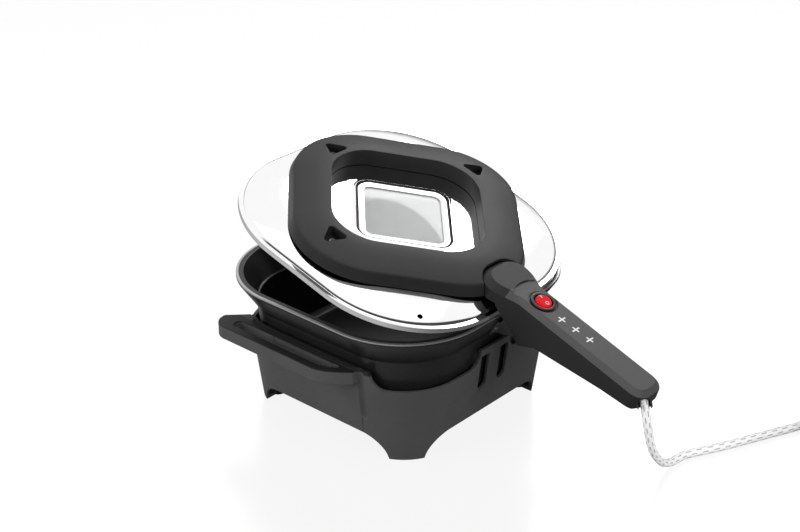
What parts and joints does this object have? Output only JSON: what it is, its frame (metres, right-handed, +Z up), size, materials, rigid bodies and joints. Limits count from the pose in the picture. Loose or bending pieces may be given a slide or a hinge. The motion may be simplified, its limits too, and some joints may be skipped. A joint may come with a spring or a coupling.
{
  "type": "electric baking pan",
  "caption": "Square electric baking pan: coated pan in a moulded stand with side grips, and a steel heating lid with window, ring and switch handle that tips open on a hinge.",
  "frame": {"origin": "middle of the stand on the table plane", "axes": "+X along the handle, +Y across to the left of it, +Z up"},
  "size_m": [0.5697, 0.3944, 0.2277],
  "materials": {
    "stand_plastic": "fine grained charcoal moulding",
    "foot_rubber": "soft black rubber",
    "pan_coating": "cast aluminium under a satin black coating",
    "bracket_steel": "dark satin steel",
    "bare_steel": "plain steel",
    "lid_steel": "polished stainless sheet",
    "inner_steel": "bright inner sheet",
    "mineral_mat": "pressed mineral fibre",
    "heater_tube": "heat-darkened tube",
    "window_glass": "clear tempered pane",
    "seal_rubber": "black rubber",
    "handle_plastic": "fine grained charcoal moulding",
    "switch_black": "glossy black",
    "rocker_red": "glossy red with two white marks",
    "terminal_cream": "cream ceramic-like moulding",
    "lead_brass": "bare conductor",
    "cord_braid": "white textile braid with dark dashes",
    "plug_black": "moulded black plug"
  },
  "bodies": {
    "stand": {"stand_frame": "stand_plastic", "foot_pads": "foot_rubber"},
    "pan": {"pan_body": "pan_coating", "hinge_bracket": "bracket_steel", "bracket_rivets": "bare_steel"},
    "lid_pivot": {"hinge_pin": "bare_steel", "cord_lead": "cord_braid", "cord_coil": "cord_braid", "coil_tie": "foot_rubber", "plug_body": "plug_black", "plug_pins": "bare_steel"},
    "lid": {"lid_shell": "lid_steel", "lid_rim": "lid_steel", "inner_reflector": "inner_steel", "insulation_mat": "mineral_mat", "heating_element": "heater_tube", "element_clips": "bare_steel", "window_glass": "window_glass", "window_seal": "seal_rubber", "window_frame": "lid_steel", "thermal_cutout": "switch_black", "ring_spacers": "bare_steel", "handle_ring": "handle_plastic", "ring_screws": "bracket_steel", "handle_lower": "handle_plastic", "handle_cover": "handle_plastic", "handle_screws": "bare_steel", "switch_housing": "switch_black", "terminal_block": "terminal_cream", "inner_leads": "lead_brass", "cord_gland": "seal_rubber", "cord_drop": "cord_braid"},
    "rocker": {"switch_rocker": "rocker_red"}
  },
  "joints": [
    {"name": "pan_lift", "type": "slide", "parent": "stand", "child": "pan", "axis": [0, 0, 1], "range_m": [0, 0.09]},
    {"name": "lid_lift", "type": "slide", "parent": "pan", "child": "lid_pivot", "axis": [0, 0, 1], "range_m": [0, 0.06]},
    {"name": "lid_tip", "type": "hinge", "parent": "lid_pivot", "child": "lid", "pos_m": [0.14499, 0, 0.1434], "axis": [0, 1, 0], "range_deg": [-16.3, 24]},
    {"name": "switch_rock", "type": "hinge", "parent": "lid", "child": "rocker", "pos_m": [0.16513, 0, 0.14813], "axis": [0, 1, 0], "range_deg": [-20, 0]}
  ]
}
